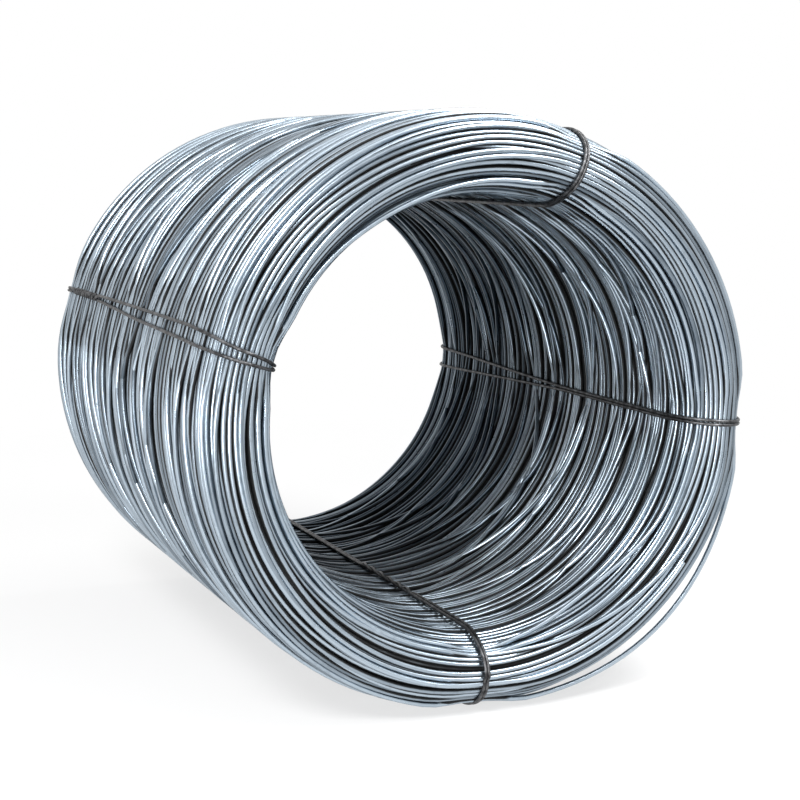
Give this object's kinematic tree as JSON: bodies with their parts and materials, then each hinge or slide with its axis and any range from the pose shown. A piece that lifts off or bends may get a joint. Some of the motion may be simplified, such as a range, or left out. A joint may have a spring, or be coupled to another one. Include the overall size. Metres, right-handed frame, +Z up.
{
  "type": "wire rod coil",
  "caption": "Coil of bright steel wire rod lying on its side, with an open bore, rounded ends of rod turns, and doubled tie wires round its wall",
  "frame": {"origin": "under the middle of the coil, on the ground plane", "axes": "+Y along the coil axis from the near end to the far end where the ties are twisted, +Z up, +X to the right seen from the near end"},
  "size_m": [1.15, 1.3, 1.1497],
  "materials": {
    "rod_steel": "bright drawn rod, slightly blue",
    "tie_steel": "dull dark annealed wire"
  },
  "bodies": {
    "root": {"wire_coil": "rod_steel", "tie_wire_left": "tie_steel", "tie_wire_top": "tie_steel", "tie_wire_right": "tie_steel", "tie_wire_bottom": "tie_steel"}
  },
  "joints": []
}
